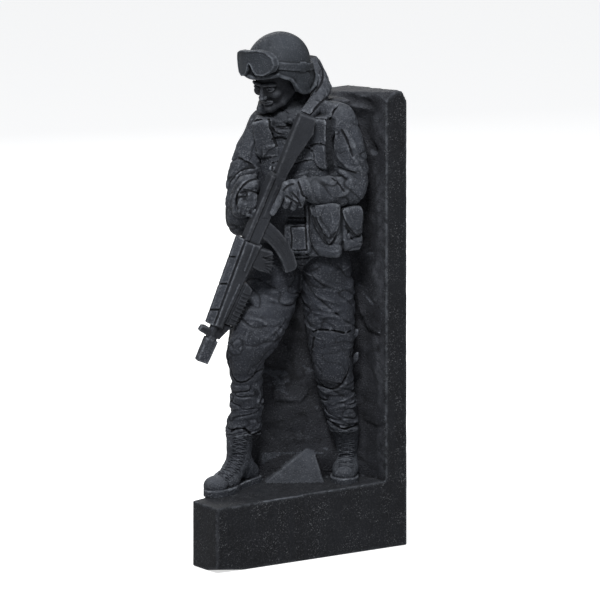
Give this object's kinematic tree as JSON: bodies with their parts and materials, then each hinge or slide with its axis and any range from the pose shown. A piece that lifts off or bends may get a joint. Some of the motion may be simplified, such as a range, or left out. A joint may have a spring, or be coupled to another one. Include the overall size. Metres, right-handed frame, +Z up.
{
  "type": "war memorial pillar",
  "caption": "Dark granite memorial: a soldier with a lowered rifle carved in high relief from a block that keeps a plinth and an upright rough-backed pillar.",
  "frame": {"origin": "middle of the flat underside of the block", "axes": "+Z up, X along the long face of the plinth with the pillar at +X, the long face looks along -Y"},
  "size_m": [0.868, 0.4111, 2.0196],
  "materials": {
    "stone": "fine-pecked and sawn dark granite"
  },
  "bodies": {
    "root": {"memorial": "stone"}
  },
  "joints": []
}
